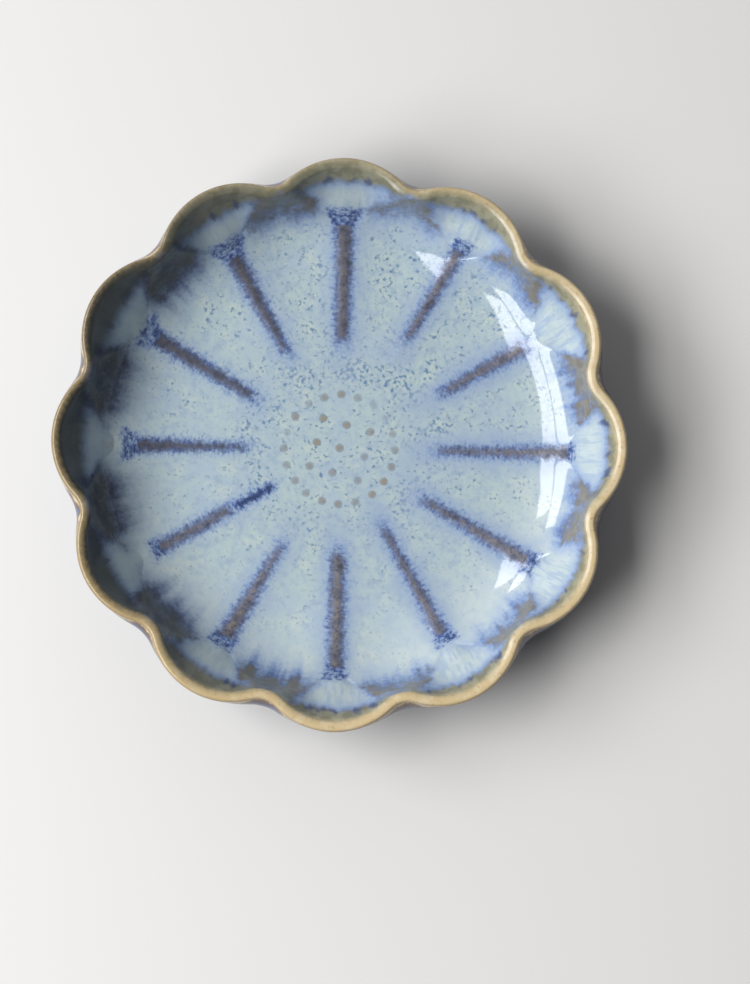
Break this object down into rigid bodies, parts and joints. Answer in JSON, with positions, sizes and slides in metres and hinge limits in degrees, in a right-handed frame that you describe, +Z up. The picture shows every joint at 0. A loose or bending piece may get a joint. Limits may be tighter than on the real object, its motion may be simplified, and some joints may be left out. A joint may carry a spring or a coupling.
{
  "type": "soy sauce dish",
  "caption": "Shallow glazed stoneware sauce dish shaped as a flower, with scalloped petals, slip ribs and dots inside, and a turned foot ring.",
  "frame": {"origin": "centre of the foot ring on the table", "axes": "+Z up out of the dish; one petal of the rim points along +X and the rim's notches lie between"},
  "size_m": [0.105, 0.105, 0.02],
  "materials": {
    "stoneware": "fired clay under the glaze",
    "bare_foot": "unglazed, turned, matte",
    "brown_slip": "glossy where the glaze breaks thin over the slip",
    "tan_slip": "glossy",
    "blue_glaze": "glossy milky blue reactive glaze",
    "ochre_glaze": "glossy ochre",
    "dark_glaze": "glossy dark blue",
    "recess_glaze": "glossy dark blue"
  },
  "bodies": {
    "root": {"clay_body": "stoneware", "foot_ring": "bare_foot", "petal_ribs": "brown_slip", "stamen_dots": "tan_slip", "inner_glaze": "blue_glaze", "lip_glaze": "ochre_glaze", "outer_glaze": "dark_glaze", "base_glaze": "recess_glaze"}
  },
  "joints": []
}
